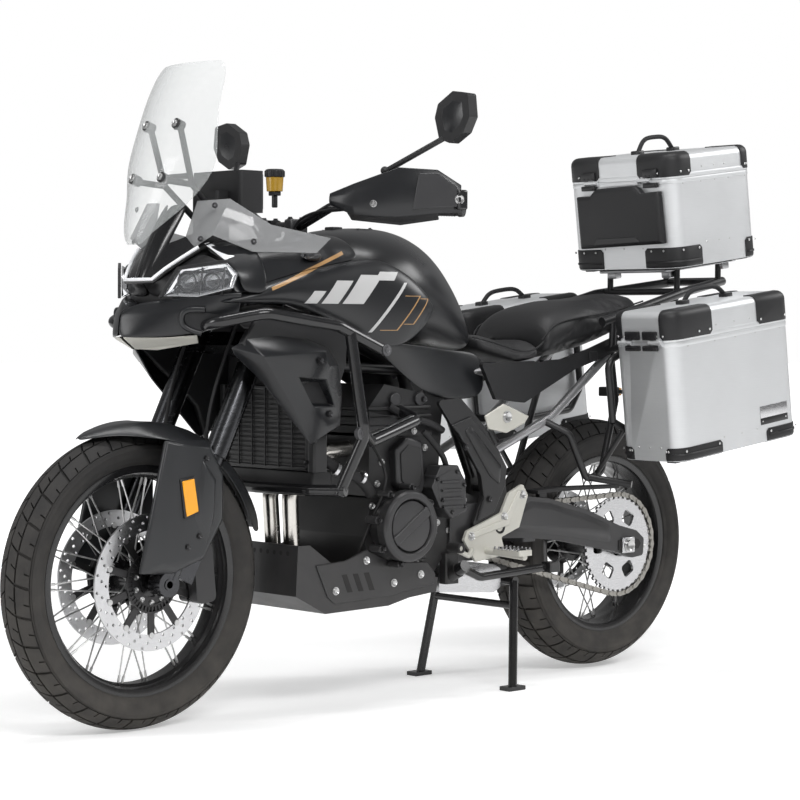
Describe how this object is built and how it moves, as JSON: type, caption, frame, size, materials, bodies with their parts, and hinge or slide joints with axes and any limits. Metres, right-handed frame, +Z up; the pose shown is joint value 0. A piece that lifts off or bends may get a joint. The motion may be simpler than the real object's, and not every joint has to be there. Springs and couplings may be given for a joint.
{
  "type": "adventure motorcycle",
  "caption": "Adventure motorcycle with wire-spoked wheels, tall windshield, crash bars, metal luggage cases and a centre stand.",
  "frame": {"origin": "on the floor under the middle of the motorcycle, which stands on its centre stand", "axes": "+X forwards along the motorcycle, +Y to its left, +Z up"},
  "size_m": [2.268, 0.922, 1.478],
  "materials": {
    "tyre": "matte",
    "rim": "gloss",
    "steel": "satin",
    "chain_steel": "satin",
    "black_metal": "gloss",
    "dark_metal": "satin",
    "caliper": "satin",
    "engine_metal": "satin",
    "light_metal": "satin",
    "bodywork": "satin",
    "black_plastic": "satin",
    "seat": "matte",
    "screen": "gloss",
    "smoke": "gloss",
    "lamp": "gloss",
    "amber": "gloss",
    "case": "satin"
  },
  "bodies": {
    "chassis": {"muffler": "steel", "exhaust_headers": "steel", "chain": "chain_steel", "crash_bars": "black_metal", "rack": "black_metal", "frame": "dark_metal", "subframe": "dark_metal", "pannier_frames": "dark_metal", "swingarm": "dark_metal", "shock": "dark_metal", "radiator": "dark_metal", "passenger_hangers": "dark_metal", "rear_caliper": "caliper", "engine": "engine_metal", "engine_covers": "engine_metal", "foot_controls": "light_metal", "fuel_tank": "bodywork", "side_fairings": "bodywork", "nose_fairing": "bodywork", "tail_panels": "black_plastic", "dash": "black_plastic", "rear_mudguard": "black_plastic", "chain_guard": "black_plastic", "skid_plate": "black_plastic", "rider_seat": "seat", "pillion_seat": "seat", "windshield": "screen", "wind_deflectors": "smoke", "headlamps": "lamp", "signal_lamps": "amber", "pannier_left_box": "case", "pannier_right_box": "case", "top_case_box": "case"},
    "steering": {"fork": "dark_metal", "front_calipers": "caliper", "front_fender": "bodywork", "handlebar": "black_metal", "hand_controls": "black_plastic", "mirrors": "black_plastic", "handguards": "black_plastic"},
    "front_assembly": {"front_tyre": "tyre", "front_wheel": "rim", "front_discs": "steel"},
    "rear_assembly": {"rear_tyre": "tyre", "rear_wheel": "rim", "rear_disc": "steel", "sprocket": "steel"},
    "left_lid": {"pannier_left_lid": "case"},
    "right_lid": {"pannier_right_lid": "case"},
    "top_lid": {"top_case_lid": "case"},
    "stand_centre": {"centre_stand": "black_metal"},
    "stand_side": {"side_stand": "black_metal"}
  },
  "joints": [
    {"name": "steering_turn", "type": "hinge", "parent": "chassis", "child": "steering", "pos_m": [0.44769, 0, 0.93893], "axis": [-0.4384, 0, 0.8988], "range_deg": [-33, 33]},
    {"name": "front_wheel_spin", "type": "hinge", "parent": "steering", "child": "front_assembly", "pos_m": [0.795, 0, 0.3295], "axis": [0, 1, 0], "continuous": true},
    {"name": "rear_wheel_spin", "type": "hinge", "parent": "chassis", "child": "rear_assembly", "pos_m": [-0.67, 0, 0.326], "axis": [0, 1, 0], "continuous": true},
    {"name": "centre_stand_swing", "type": "hinge", "parent": "chassis", "child": "stand_centre", "pos_m": [-0.262, 0, 0.262], "axis": [0, 1, 0], "range_deg": [0, 98]},
    {"name": "side_stand_swing", "type": "hinge", "parent": "chassis", "child": "stand_side", "pos_m": [-0.04, 0.18, 0.312], "axis": [0, -0.9003, -0.4352], "range_deg": [0, 105]},
    {"name": "pannier_left_lid_hinge", "type": "hinge", "parent": "chassis", "child": "left_lid", "pos_m": [-0.47106, 0, 0.84812], "axis": [0, 1, 0], "range_deg": [0, 80]},
    {"name": "pannier_right_lid_hinge", "type": "hinge", "parent": "chassis", "child": "right_lid", "pos_m": [-0.47106, 0, 0.84812], "axis": [0, 1, 0], "range_deg": [0, 80]},
    {"name": "top_lid_hinge", "type": "hinge", "parent": "chassis", "child": "top_lid", "pos_m": [-0.77806, 0, 1.26912], "axis": [0, 1, 0], "range_deg": [0, 80]}
  ]
}
